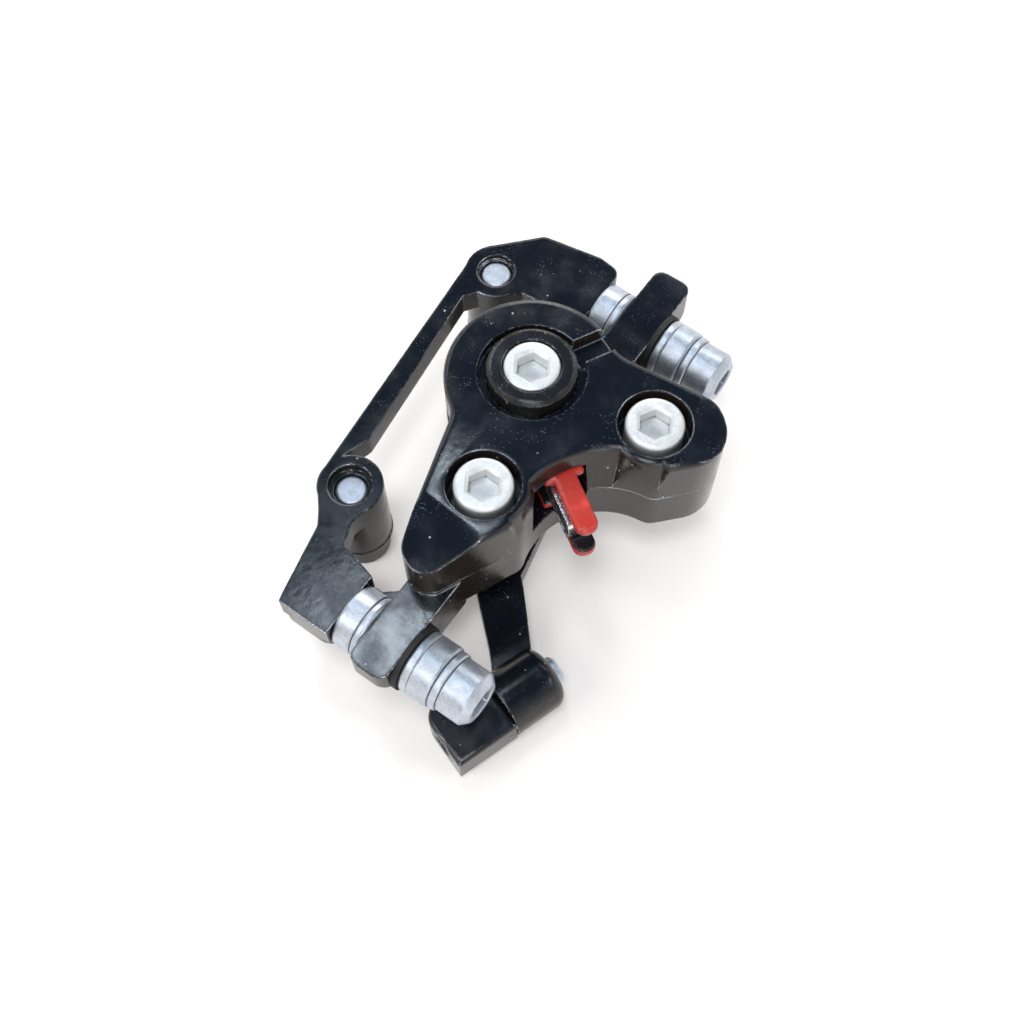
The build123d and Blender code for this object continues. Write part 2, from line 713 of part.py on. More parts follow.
# Piston foot, and the spindle whose three ramps climb over the balls
pressure_foot = rings([Plane.XY.offset(foot_low_z)], foot_radius, foot_thickness, 0)
pressure_foot.part.label = "pressure_foot"
ramp_arc = radians(arm_swing) / 2
ball_turns = [2 * pi * k / ball_count for k in range(ball_count)]
ramp_places = []
for ball_turn in ball_turns:
    for step in range(ramp_steps + 1):
        at = ball_turn + ramp_arc * step / ramp_steps
        drop = pad_travel * step / ramp_steps
        ramp_places.append((ball_circle * cos(at), ball_circle * sin(at), ball_z - drop))

with BuildPart() as drive_spindle:
    with BuildSketch(Plane.XY.offset(flange_low_z)):
        Circle(flange_radius)
    extrude(amount=flange_thickness)
    with Locations(*ramp_places):
        Sphere(ball_radius + track_gap, mode=Mode.SUBTRACT)
    with BuildSketch(Plane.XY.offset(flange_low_z)):
        Circle(shaft_radius)
    extrude(amount=arm_low_z - flange_low_z)
    with BuildSketch(Plane.XY.offset(arm_low_z)):
        Circle(m5_radius + thread_gap)
    extrude(amount=2 * arm_thickness, mode=Mode.SUBTRACT)
drive_spindle.part.label = "drive_spindle"

with BuildPart() as ramp_balls:
    with Locations(*[(ball_circle * cos(at), ball_circle * sin(at), ball_z) for at in ball_turns]):
        Sphere(ball_radius)
ramp_balls.part.label = "ramp_balls"

with BuildPart() as ball_cage:
    with BuildSketch(Plane.XY.offset(ball_z - cage_thickness / 2)):
        Circle(flange_radius)
        Circle(shaft_radius + turns_gap, mode=Mode.SUBTRACT)
        with PolarLocations(ball_circle, ball_count):
            Circle(ball_radius + running_gap, mode=Mode.SUBTRACT)
    extrude(amount=cage_thickness)
ball_cage.part.label = "ball_cage"

with BuildPart() as fixed_race:
    with BuildSketch(Plane.XY.offset(race_low_z)):
        Circle(chamber_radius - thread_gap)
        Circle(shaft_radius + turns_gap, mode=Mode.SUBTRACT)
    extrude(amount=race_thickness)
    with Locations((0, 0, ball_z)):
        Torus(ball_circle, ball_radius + track_gap, mode=Mode.SUBTRACT)
fixed_race.part.label = "fixed_race"

seal_plane = Plane.XY.offset(neck_end_z)
shaft_seal = rings([seal_plane], seal_radius - seat_gap, seal_depth - seat_gap, shaft_radius + running_gap)
shaft_seal.part.label = "shaft_seal"

# Return spring, one unbroken wire round the neck
leg_rise = spring_leg * spring_pitch / (2 * pi * spring_radius)
spring_high_z = pivot_floor_z - spring_wire / 2 - leg_rise - seat_gap
spring_start = radians(spring_start_turn)


def coil_point(angle):
    """Point of the coil's centre line, an angle after its upper end."""
    at = spring_start - angle
    drop = spring_pitch * angle / (2 * pi)
    return Vector(spring_radius * cos(at), spring_radius * sin(at), spring_high_z - drop)


def coil_way(angle):
    """Direction of the wire there."""
    at = spring_start - angle
    return Vector(spring_radius * sin(at), -spring_radius * cos(at), -spring_pitch / (2 * pi)).normalized()


def biarc_middle(start, start_way, end, end_way):
    """Point where two arcs that keep both end directions meet."""
    chord = end - start
    along = chord.dot(start_way + end_way)
    spread = 2 * (1 - start_way.dot(end_way))
    reach = (sqrt(along * along + spread * chord.dot(chord)) - along) / spread
    return (start + start_way * reach + end - end_way * reach) * 0.5


quarter = pi / 2
quarters = ceil(4 * spring_turns)
leg_start = coil_point(0) - coil_way(0) * spring_leg
with BuildPart() as return_spring:
    with BuildLine() as coil:
        Line(leg_start, coil_point(0))
        for k in range(quarters):
            start, end = coil_point(quarter * k), coil_point(quarter * (k + 1))
            middle = biarc_middle(start, coil_way(quarter * k), end, coil_way(quarter * (k + 1)))
            first = TangentArc(start, middle, tangent=coil_way(quarter * k))
            TangentArc(middle, end, tangent=first % 1)
    with BuildSketch(Plane(origin=leg_start, z_dir=coil_way(0))):
        Circle(spring_wire / 2)
    sweep(path=coil.wires()[0])
return_spring.part.label = "return_spring"

# Least gap between turns, measured on points of the wire's centre line
coil_samples = 240
wire_line = coil.wires()[0]
wire_points = [wire_line @ (k / coil_samples) for k in range(coil_samples + 1)]
step_length = wire_line.length / coil_samples
skip = ceil(2 * spring_radius / step_length)
nearest = min((a - b).length for i, a in enumerate(wire_points) for b in wire_points[i + skip:])
print("return spring least gap", round(nearest - spring_wire, 3))

# Brake arm with a boss for the cable clamp's bolt
clamp_turn = radians(clamp_axis_turn)
clamp_way = Vector(cos(clamp_turn), sin(clamp_turn), 0)
cross_way = Vector(sin(clamp_turn), -cos(clamp_turn), 0)
arm_end = Vector(arm_reach_x, arm_reach_y, 0)
boss_centre = Vector(arm_reach_x, arm_reach_y, boss_axis_z)
arm_bend = Vector(arm_bend_x, arm_bend_y, 0)
arm_neck = Vector(arm_neck_x, arm_neck_y, 0)
bar_way = (arm_neck - arm_bend).normalized()
bar_side = Vector(-bar_way.Y, bar_way.X, 0)
low_flare = arm_end - clamp_way * (boss_back * 0.7) - cross_way * (boss_radius * 0.77)
high_flare = arm_end + clamp_way * ((boss_front - boss_round) * 0.9) - cross_way * (boss_radius * 0.2)
low_neck = arm_neck - bar_side * arm_neck_half
high_neck = arm_neck + bar_side * arm_neck_half


def clamp_plane(along):
    """Plane square to the clamp bolt, at a distance along it from the boss centre."""
    return Plane(origin=boss_centre + clamp_way * along, x_dir=cross_way, z_dir=clamp_way)


with BuildPart() as brake_arm:
    with BuildSketch(clamp_plane(-boss_back)):
        Circle(boss_radius)
    extrude(amount=boss_back + boss_front)
    fillet(brake_arm.edges().sort_by(Axis(boss_centre, clamp_way))[-1], boss_round)
    with BuildSketch(Plane.XY.offset(arm_low_z)) as arm_plan:
        with BuildLine():
            Polyline(
                (-arm_hub_radius * 0.96, -arm_hub_radius * 0.28),
                arm_bend - bar_side * arm_bend_half,
                low_neck,
                low_flare,
                arm_end,
                high_flare,
                high_neck,
                arm_bend + bar_side * arm_bend_half,
                (arm_hub_radius * 0.98, arm_hub_radius * 0.1),
                close=True,
            )
        make_face()
        for corner in (low_neck, high_neck):
            fillet(arm_plan.vertices().sort_by_distance(corner)[0], arm_neck_round)
        Circle(arm_hub_radius)
        Circle(shaft_radius + thread_gap, mode=Mode.SUBTRACT)
    extrude(amount=arm_thickness)
    with BuildSketch(clamp_plane(-boss_back - overrun)):
        Circle(m5_radius + thread_gap)
    extrude(amount=boss_back + boss_front + 2 * overrun, mode=Mode.SUBTRACT)
brake_arm.part.label = "brake_arm"

block_start = -boss_back - seat_gap - block_depth
block_corner = boss_centre + clamp_way * block_start + cross_way * block_shift
block_plane = Plane(origin=block_corner - Vector(0, 0, block_height / 2), x_dir=cross_way, z_dir=(0, 0, 1))
with BuildPart() as cable_clamp_block:
    with BuildSketch(block_plane) as block_outline:
        with Locations((0, block_depth / 2)):
            Rectangle(block_width, block_depth)
        fillet(block_outline.vertices().group_by(Axis.X)[0], block_round)
    extrude(amount=block_height)
    fillet(cable_clamp_block.faces().sort_by(Axis.Z)[-1].edges(), block_edge)
    with BuildSketch(clamp_plane(block_start - overrun)):
        Circle(m5_radius + turns_gap)
    extrude(amount=block_depth + 2 * overrun, mode=Mode.SUBTRACT)
    with BuildSketch(clamp_plane(block_start - overrun)):
        Circle(clamp_head_radius + turns_gap)
    extrude(amount=clamp_head_depth + overrun, mode=Mode.SUBTRACT)
cable_clamp_block.part.label = "cable_clamp_block"

with BuildPart() as cable_clamp_bolt:
    with BuildSketch(clamp_plane(block_start)):
        Circle(clamp_head_radius)
    extrude(amount=clamp_head_depth - seat_gap)
    with BuildSketch(clamp_plane(block_start)):
        Circle(m5_radius)
    extrude(amount=boss_front + tip_stand - block_start)
    chamfer(cable_clamp_bolt.edges().sort_by(Axis(boss_centre, clamp_way))[-1], tip_chamfer)
    with BuildSketch(clamp_plane(block_start)):
        RegularPolygon(radius=m5_hex_flat / 2, side_count=6, major_radius=False)
    extrude(amount=clamp_head_depth - tip_chamfer, mode=Mode.SUBTRACT)
cable_clamp_bolt.part.label = "cable_clamp_bolt"

# Screw and washer that hold the arm on the spindle
arm_face = facing_down(0, 0, arm_low_z)
arm_washer = rings([arm_face], arm_screw_radius + overrun, arm_washer_thickness, m5_radius + turns_gap)
arm_washer.part.label = "arm_washer"
screw_face = facing_down(0, 0, arm_low_z - arm_washer_thickness)
with BuildPart() as arm_screw:
    with BuildSketch(screw_face):
        Circle(arm_screw_radius)
    extrude(amount=arm_screw_head)
    with BuildSketch(screw_face):
        Circle(m5_radius)
    extrude(amount=arm_washer_thickness - 2 * arm_thickness)
    with BuildSketch(screw_face.offset(arm_screw_head)):
        RegularPolygon(radius=m5_hex_flat / 2, side_count=6, major_radius=False)
    extrude(amount=-arm_screw_head, mode=Mode.SUBTRACT)
arm_screw.part.label = "arm_screw"

# Barrel adjuster and its locknut in the cable stop
nut_x = stop_x - seat_gap - locknut_thickness
knob_x = nut_x - knob_gap - knob_length
barrel_end_x = stop_x + stop_length + barrel_reach
with BuildPart() as barrel_adjuster:
    with BuildSketch(along_x(knob_x, stop_y, stop_axis_z)):
        Circle(knob_radius)
        with PolarLocations(knob_radius, knob_ribs):
            Circle(rib_radius, mode=Mode.SUBTRACT)
    extrude(amount=knob_length)
    with BuildSketch(along_x(knob_x, stop_y, stop_axis_z)):
        Circle(barrel_radius)
    extrude(amount=barrel_end_x - knob_x)
    with BuildSketch(along_x(knob_x, stop_y, stop_axis_z)):
        Circle(barrel_bore)
    extrude(amount=barrel_socket, mode=Mode.SUBTRACT)
    with BuildSketch(along_x(knob_x, stop_y, stop_axis_z)):
        Circle(cable_bore)
    extrude(amount=barrel_end_x + overrun - knob_x, mode=Mode.SUBTRACT)
barrel_adjuster.part.label = "barrel_adjuster"

with BuildPart() as barrel_locknut:
    with BuildSketch(along_x(nut_x, stop_y, stop_axis_z)):
        RegularPolygon(radius=locknut_flat / 2, side_count=6, major_radius=False)
        Circle(barrel_radius + running_gap, mode=Mode.SUBTRACT)
    extrude(amount=locknut_thickness)
barrel_locknut.part.label = "barrel_locknut"

os.makedirs("parts", exist_ok=True)
export_step(adapter_bracket.part, "parts/adapter_bracket.step")
export_step(is_bolts.part, "parts/is_bolts.step")
export_step(is_washers.part, "parts/is_washers.step")
export_step(inner_body_half.part, "parts/inner_body_half.step")
export_step(outer_body_half.part, "parts/outer_body_half.step")
export_step(body_bolts.part, "parts/body_bolts.step")
export_step(post_bolts.part, "parts/post_bolts.step")
export_step(head_convex_washers.part, "parts/head_convex_washers.step")
export_step(head_concave_washers.part, "parts/head_concave_washers.step")
export_step(adapter_convex_washers.part, "parts/adapter_convex_washers.step")
export_step(adapter_concave_washers.part, "parts/adapter_concave_washers.step")
export_step(ear_rings.part, "parts/ear_rings.step")
export_step(flat_washers.part, "parts/flat_washers.step")
export_step(inner_pad_backing.part, "parts/inner_pad_backing.step")
export_step(inner_pad_lining.part, "parts/inner_pad_lining.step")
export_step(outer_pad_backing.part, "parts/outer_pad_backing.step")
export_step(outer_pad_lining.part, "parts/outer_pad_lining.step")
export_step(pad_spring.part, "parts/pad_spring.step")
export_step(adjuster_disc.part, "parts/adjuster_disc.step")
export_step(adjuster_screw.part, "parts/adjuster_screw.step")
export_step(adjuster_ring.part, "parts/adjuster_ring.step")
export_step(pressure_foot.part, "parts/pressure_foot.step")
export_step(drive_spindle.part, "parts/drive_spindle.step")
export_step(ramp_balls.part, "parts/ramp_balls.step")
export_step(ball_cage.part, "parts/ball_cage.step")
export_step(fixed_race.part, "parts/fixed_race.step")
export_step(shaft_seal.part, "parts/shaft_seal.step")
export_step(return_spring.part, "parts/return_spring.step")
export_step(brake_arm.part, "parts/brake_arm.step")
export_step(arm_washer.part, "parts/arm_washer.step")
export_step(arm_screw.part, "parts/arm_screw.step")
export_step(cable_clamp_block.part, "parts/cable_clamp_block.step")
export_step(cable_clamp_bolt.part, "parts/cable_clamp_bolt.step")
export_step(barrel_adjuster.part, "parts/barrel_adjuster.step")
export_step(barrel_locknut.part, "parts/barrel_locknut.step")
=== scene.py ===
# %% [markdown]
# # A disc brake caliper on a pale table
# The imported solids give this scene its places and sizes. Each solid is copied, gets soft
# edges and a procedural finish, and rides on the body that it belongs to.

import json
import math

import bmesh
import bpy
from mathutils import Euler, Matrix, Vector


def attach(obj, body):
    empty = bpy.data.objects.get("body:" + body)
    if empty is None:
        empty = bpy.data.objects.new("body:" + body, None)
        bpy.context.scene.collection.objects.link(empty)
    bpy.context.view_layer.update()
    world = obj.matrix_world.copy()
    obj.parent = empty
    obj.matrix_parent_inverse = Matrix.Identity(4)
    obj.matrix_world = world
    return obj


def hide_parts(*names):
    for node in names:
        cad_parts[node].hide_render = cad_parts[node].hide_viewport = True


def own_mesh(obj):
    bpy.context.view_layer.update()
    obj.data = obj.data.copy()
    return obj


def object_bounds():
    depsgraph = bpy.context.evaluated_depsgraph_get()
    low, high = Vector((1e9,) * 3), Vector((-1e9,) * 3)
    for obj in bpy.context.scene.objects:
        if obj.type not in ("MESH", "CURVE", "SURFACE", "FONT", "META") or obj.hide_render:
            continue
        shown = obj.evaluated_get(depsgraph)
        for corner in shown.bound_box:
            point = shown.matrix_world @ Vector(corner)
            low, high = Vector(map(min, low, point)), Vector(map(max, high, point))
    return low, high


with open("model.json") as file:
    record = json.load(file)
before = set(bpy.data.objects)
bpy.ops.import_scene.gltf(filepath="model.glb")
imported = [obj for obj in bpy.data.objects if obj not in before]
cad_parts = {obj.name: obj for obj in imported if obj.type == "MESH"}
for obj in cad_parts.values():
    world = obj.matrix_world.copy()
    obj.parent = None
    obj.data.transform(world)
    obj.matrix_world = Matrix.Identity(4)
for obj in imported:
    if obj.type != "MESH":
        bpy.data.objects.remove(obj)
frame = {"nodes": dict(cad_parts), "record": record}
nodes = frame["nodes"]
cad_low, cad_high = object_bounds()
mm = 0.001
print("CAD box, mm:", [round(v / mm, 1) for v in (*cad_low, *cad_high)])

# %% [markdown]
# ## Camera
# The camera could be placed by eye. Here it was fitted to the photograph from the standard
# bolt heads and bolt spacings, so that the outlines of the solids fall on the real ones. Its
# focal length in pixels becomes a lens length on a 36 mm sensor.

# %% Place the camera
image_width = 1024
focal_pixels = 1300
sensor_width = 36
camera_place_mm = (65.15, -94.87, 196.90)
camera_turn_degrees = (25.323, 0.385, 35.524)

camera_data = bpy.data.cameras.new("camera")
camera_data.sensor_width = sensor_width
camera_data.lens = sensor_width * focal_pixels / image_width
camera = bpy.data.objects.new("camera", camera_data)
camera.location = Vector(camera_place_mm) * mm
camera.rotation_euler = Euler([math.radians(a) for a in camera_turn_degrees])
bpy.context.scene.collection.objects.link(camera)
bpy.context.scene.camera = camera
bpy.context.scene.view_settings.view_transform = "Standard"
print("lens, mm:", round(camera_data.lens, 1))

# %% [markdown]
# ## Node tools
# A finish in Blender is a graph: patterns go in, numbers are stretched and mixed, and a shader
# comes out. The graph could be drawn by hand in the shader editor. Short functions are used
# instead, so that each finish further down reads like its recipe.


# %% Make nodes and link them
def new_material(name):
    """A material with an empty node tree, its output node and a principled shader."""
    material = bpy.data.materials.new(name)
    material.use_nodes = True
    tree = material.node_tree
    tree.nodes.clear()
    output = tree.nodes.new("ShaderNodeOutputMaterial")
    shader = tree.nodes.new("ShaderNodeBsdfPrincipled")
    tree.links.new(shader.outputs["BSDF"], output.inputs["Surface"])
    return material, tree, shader


def put(tree, socket, value):
    """Link another socket's output to a socket, or set the socket to a plain value."""
    if isinstance(value, bpy.types.NodeSocket):
        tree.links.new(value, socket)
    else:
        socket.default_value = value


def node(tree, kind, sockets=(), **settings):
    """A node with settings and linked or plain socket values."""
    made = tree.nodes.new("ShaderNode" + kind)
    for key, value in settings.items():
        setattr(made, key, value)
    for key, value in dict(sockets).items():
        put(tree, made.inputs[key], value)
    return made


print("node makers ready")

# %% [markdown]
# ## Numbers and colours
# These tools bend and join values. The Mix node keeps separate sockets for numbers and for
# colours under the same names, so its sockets are chosen by their places.

# %% Bend, join and mix values
number_sockets = (0, 2, 3)
number_result = 0
colour_sockets = (0, 6, 7)
colour_result = 2


def spread(tree, value, band, to_low=0.0, to_high=1.0):
    """Map a band of a value smoothly onto another range."""
    sockets = {"Value": value, "From Min": band[0], "From Max": band[1], "To Min": to_low, "To Max": to_high}
    return node(tree, "MapRange", sockets, interpolation_type="SMOOTHSTEP").outputs["Result"]


def combine(tree, operation, first, second):
    """A math node's result."""
    return node(tree, "Math", {0: first, 1: second}, operation=operation).outputs[0]


def times(tree, first, second):
    """The product of two values."""
    return combine(tree, "MULTIPLY", first, second)


def mix(tree, factor, first, second):
    """A colour between two colours."""
    sockets = zip(colour_sockets, (factor, first, second))
    return node(tree, "Mix", sockets, data_type="RGBA").outputs[colour_result]


def mix_number(tree, factor, first, second):
    """A number between two numbers."""
    sockets = zip(number_sockets, (factor, first, second))
    return node(tree, "Mix", sockets, data_type="FLOAT").outputs[number_result]


def lit(colour, level):
    """A colour made brighter or darker by a level."""
    return (*(part * level for part in colour[:3]), 1.0)


print("value tools ready")

# %% [markdown]
# ## Patterns
# Pictures of scratches or dust would need the solids unwrapped. Noise and cells that are fixed
# to the object need no unwrapping, and their features are given in real sizes.

# %% Make patterns in real sizes
bevel_samples = 4
speck_core = 0.5


def noise(tree, size, detail=3.0, roughness=0.5):
    """Noise whose features are about a size in metres, fixed to the object."""
    place = node(tree, "TexCoord").outputs["Object"]
    sockets = {"Vector": place, "Scale": 1 / size, "Detail": detail, "Roughness": roughness}
    return node(tree, "TexNoise", sockets).outputs["Fac"]


def dots(tree, cell, size, share):
    """Round specks of a size, one in a share of the cells of a 3-D grid."""
    place = node(tree, "TexCoord").outputs["Object"]
    cells = node(tree, "TexVoronoi", {"Vector": place, "Scale": 1 / cell})
    reach = size / cell
    inside = spread(tree, cells.outputs["Distance"], (reach * speck_core, reach), to_low=1.0, to_high=0.0)
    chance = node(tree, "SeparateColor", {0: cells.outputs["Color"]}).outputs[0]
    return times(tree, inside, combine(tree, "LESS_THAN", chance, share))


def round_normal(tree, radius):
    """The surface's direction as if its edges were rounded by a radius."""
    return node(tree, "Bevel", {"Radius": radius}, samples=bevel_samples).outputs["Normal"]


def edges(tree, radius, band):
    """One along convex and concave edges, zero on flat stretches."""
    flat_normal = node(tree, "NewGeometry").outputs["Normal"]
    sockets = {0: round_normal(tree, radius), 1: flat_normal}
    same = node(tree, "VectorMath", sockets, operation="DOT_PRODUCT").outputs["Value"]
    return spread(tree, combine(tree, "SUBTRACT", 1.0, same), band)


def bump(tree, height, distance, normal=None):
    """A bump normal from a height, its depth given in metres."""
    sockets = {"Height": height, "Distance": distance, "Strength": 1.0}
    if normal is not None:
        sockets["Normal"] = normal
    return node(tree, "Bump", sockets).outputs["Normal"]


print("patterns ready")

# %% [markdown]
# ## Gloss paint
# The bracket, both body halves, the arm and its clamp block are aluminium under thick gloss
# paint. Such paint has a faint orange peel, dust in clumps and a few chips down to pale metal.
# Its edges are polished pale and partly metallic by use, and the same pale lines are also a
# painted highlight, standing in for glints. The walls take a tone of their own apart from the
# faces that look up: a painted reflection of the warm floor on the black paints, painted shade
# on the red. Pale clouds on the upward faces are part smear, part painted sheen.
# One flat black with an image of scratches would be quicker, but these marks follow the edges
# by themselves and keep their real size.

# %% Set the sizes and shares of the paint's marks
up_band = (0.35, 0.85)
peel_size = 1.3 * mm
peel_height = 0.016 * mm
cloud_size = 7 * mm
clump_size = 5 * mm
clump_band = (0.48, 0.64)
dust_cell = 0.40 * mm
dust_size = 0.13 * mm
dust_share = 0.5
dust_strength = 0.20
chip_cell = 1.9 * mm
chip_size = 0.26 * mm
chip_share = 0.22
chip_band = (0.42, 0.56)
mark_height = 0.02 * mm
mark_roughness = 0.55
rub_glint_grain = 0.9 * mm
rub_glint_grain_band = (0.50, 0.60)
rub_glint_stretch = 8 * mm
rub_glint_stretch_band = (0.47, 0.60)
rubbed_glint_width = 0.42 * mm
rubbed_glint_band = (0.02, 0.20)
# Pale colour of edges polished by use, also a painted highlight standing in for glints.
rubbed_glint_colour = (0.72, 0.776, 0.848, 1)
rubbed_glint_roughness = 0.24
# Pale clouds on upward faces: part smear, part painted sheen.
smudge_sheen_band = (0.52, 0.74)
smudge_sheen_strength = 0.5
smudge_sheen_level = 2.6
gloss_band = (0.35, 0.72)
gloss_range = 0.14
paint_edge_radius = 0.60 * mm
print("paint marks, mm:", dust_size / mm, "to", chip_size / mm)


# %% Mark the paint
def up_share(tree):
    """One on faces that look up, zero on walls and undersides."""
    normal = node(tree, "TexCoord").outputs["Normal"]
    return spread(tree, node(tree, "SeparateXYZ", {0: normal}).outputs["Z"], up_band)


def rubbed_edges_and_glints(tree, wear_and_glint):
    """Edges polished bright by use, and painted glints along them, in grainy spots and in longer stretches.
    """
    spots = spread(tree, noise(tree, rub_glint_grain, detail=4.0, roughness=0.7), rub_glint_grain_band)
    stretches = spread(tree, noise(tree, rub_glint_stretch, detail=2.0), rub_glint_stretch_band)
    rub_and_glint = combine(tree, "MAXIMUM", spots, stretches)
    return times(tree, times(tree, edges(tree, rubbed_glint_width, rubbed_glint_band), rub_and_glint), wear_and_glint)


def dust_and_chips(tree, cloud):
    """Fine dust in clumps, and chips where the paint is cloudy."""
    clumps = spread(tree, noise(tree, clump_size, roughness=0.6), clump_band)
    dust = times(tree, dots(tree, dust_cell, dust_size, dust_share), clumps)
    chips = times(tree, dots(tree, chip_cell, chip_size, chip_share), spread(tree, cloud, chip_band))
    return combine(tree, "MAXIMUM", times(tree, dust, dust_strength), chips)


# The same width sets the lines of painted glints along the edges.
print("edges are rubbed over, mm:", round(rubbed_glint_width / mm, 2))


# %% Mix the paint
def paint(name, face, wall_reflection_and_shade, chip, wear_and_glint, rough, shine=0.95):
    """Gloss paint with orange peel, dust specks, chips, edges polished pale with painted glints, painted
    sheen on upward faces, and a painted reflection and shade tone on the walls.
    """
    material, tree, shader = new_material(name)
    cloud = noise(tree, cloud_size, detail=4.0, roughness=0.6)
    wear_and_glint_mask = rubbed_edges_and_glints(tree, wear_and_glint)
    marks = dust_and_chips(tree, cloud)
    upward = up_share(tree)
    # Upward faces get pale clouds of a lighter face colour: part smear, part painted sheen.
    smudge_and_sheen = times(tree, spread(tree, cloud, smudge_sheen_band), upward)
    # Walls take their own colour in place of the face colour: a painted reflection of the warm floor on the
    # black paints, painted shade on the red.
    base = mix(tree, upward, wall_reflection_and_shade, face)
    base = mix(tree, times(tree, smudge_and_sheen, smudge_sheen_strength), base, lit(face, smudge_sheen_level))
    marked = mix(tree, marks, base, chip)
    # Edges turn pale and partly metallic: real polish from use, and a painted highlight along them.
    put(tree, shader.inputs["Base Color"], mix(tree, wear_and_glint_mask, marked, rubbed_glint_colour))
    put(tree, shader.inputs["Metallic"], times(tree, wear_and_glint_mask, shine))
    gloss = spread(tree, cloud, gloss_band, rough, rough + gloss_range)
    dulled = mix_number(tree, marks, gloss, mark_roughness)
    put(tree, shader.inputs["Roughness"], mix_number(tree, wear_and_glint_mask, dulled, rubbed_glint_roughness))
    peel = noise(tree, peel_size, detail=2.0)
    wavy = bump(tree, peel, peel_height, round_normal(tree, paint_edge_radius))
    put(tree, shader.inputs["Normal"], bump(tree, marks, mark_height, wavy))
    return material


# Each paint's second colour is for walls: a warm painted reflection of the floor on the black paints, a
# darker painted shade on the red.
finishes = {
    "black_paint": paint("black_paint", face=(0.0050, 0.0072, 0.0120, 1), wall_reflection_and_shade=(0.0200, 0.0150, 0.0118, 1),
                         chip=(0.40, 0.46, 0.52, 1), wear_and_glint=1.0, rough=0.14),
    "black_oxide": paint("black_oxide", face=(0.0080, 0.0090, 0.0120, 1), wall_reflection_and_shade=(0.0110, 0.0100, 0.0090, 1),
                         chip=(0.40, 0.36, 0.36, 1), wear_and_glint=0.6, rough=0.20),
    "red_paint": paint("red_paint", face=(0.52, 0.040, 0.026, 1), wall_reflection_and_shade=(0.42, 0.030, 0.022, 1),
                       chip=(0.75, 0.50, 0.46, 1), wear_and_glint=0.9, rough=0.2, shine=0.1),
}
print("paints:", len(finishes))

# %% [markdown]
# ## Plated and ground steel
# The bolts and cupped washers are zinc plated: a pale blue-grey that is neither mirror nor
# matt, and mottled where the crystals differ. Ambient occlusion darkens the hollows and the
# gaps between parts: painted shade. A plain metal shader looks like new chrome. Two noises for
# the mottle and the painted shade in the joints bring it down to a used part.

# %% Plate the steel
mottle_size = 2.4 * mm
grain_size = 0.35 * mm
grain_height = 0.008 * mm
grain_band = (0.3, 0.7)
skin_band = (0.40, 0.60)
skin_share = 0.5
shade_reach = 0.6 * mm
shade_band = (0.25, 0.75)
shade_level = 0.16
shade_samples = 4
metal_edge_radius = 0.22 * mm


def metal(name, colour, rough, metallic=1.0, dark=0.72):
    """Plated or ground metal with mottled gloss, a fine grain and painted shade in its joints."""
    material, tree, shader = new_material(name)
    mottle = noise(tree, mottle_size, detail=5.0, roughness=0.65)
    grain = noise(tree, grain_size, detail=4.0, roughness=0.6)
    both = combine(tree, "ADD", times(tree, mottle, skin_share), times(tree, grain, skin_share))
    skin = mix(tree, spread(tree, both, skin_band), lit(colour, dark), colour)
    # Ambient occlusion darkens hollows and the gaps between parts towards a dim copy of the colour: painted
    # shade.
    occlusion = node(tree, "AmbientOcclusion", {"Distance": shade_reach}, samples=shade_samples).outputs["AO"]
    unshaded = spread(tree, occlusion, shade_band)
    put(tree, shader.inputs["Base Color"], mix(tree, unshaded, lit(colour, shade_level), skin))
    put(tree, shader.inputs["Roughness"], spread(tree, grain, grain_band, *rough))
    put(tree, shader.inputs["Metallic"], metallic)
    rounded = round_normal(tree, metal_edge_radius)
    put(tree, shader.inputs["Normal"], bump(tree, grain, grain_height, rounded))
    return material


finishes.update({
    "zinc_steel": metal("zinc_steel", (0.58, 0.635, 0.71, 1), rough=(0.34, 0.50), metallic=0.85, dark=0.74),
    # A lighter, less metallic copy of the zinc: painted light for the bolt heads that face the camera.
    "lit_zinc": metal("lit_zinc", (0.80, 0.82, 0.82, 1), rough=(0.40, 0.52), metallic=0.6, dark=0.86),
    "spring_steel": metal("spring_steel", (0.86, 0.86, 0.87, 1), rough=(0.18, 0.30)),
    "race_steel": metal("race_steel", (0.62, 0.62, 0.63, 1), rough=(0.15, 0.28)),
})
print("with metals:", len(finishes))

# %% [markdown]
# ## Rubber, nylon and friction compound
# The seals, the ball cage and the pad linings are dull. Each has one base colour with lighter
# flecks of its own size, and the same flecks make its grain, so one short recipe serves all.

# %% Mould the dull materials
fleck_colour_band = (0.55, 0.7)
fleck_rough_band = (0.3, 0.7)
fleck_rough_range = 0.15
fleck_level = 2.2
fleck_lift = 0.02


def dull(name, colour, rough, grain, depth, metallic=0.0):
    """Rubber, nylon or friction compound: flecks over a grainy base, sizes in metres."""
    material, tree, shader = new_material(name)
    fleck = noise(tree, grain, roughness=0.7)
    lighter = (*(min(part * fleck_level + fleck_lift, 1.0) for part in colour[:3]), 1.0)
    put(tree, shader.inputs["Base Color"], mix(tree, spread(tree, fleck, fleck_colour_band), colour, lighter))
    rough_high = min(rough + fleck_rough_range, 1.0)
    put(tree, shader.inputs["Roughness"], spread(tree, fleck, fleck_rough_band, rough, rough_high))
    put(tree, shader.inputs["Metallic"], metallic)
    put(tree, shader.inputs["Normal"], bump(tree, fleck, depth))
    return material


finishes.update({
    "lining": dull("lining", (0.10, 0.075, 0.055, 1), rough=0.75, grain=0.5 * mm, depth=0.05 * mm,
                   metallic=0.2),
    "cage": dull("cage", (0.70, 0.66, 0.55, 1), rough=0.45, grain=1.2 * mm, depth=0.01 * mm),
    "seal_rubber": dull("seal_rubber", (0.012, 0.012, 0.012, 1), rough=0.62, grain=0.6 * mm, depth=0.02 * mm),
})
print("finishes:", ", ".join(finishes))

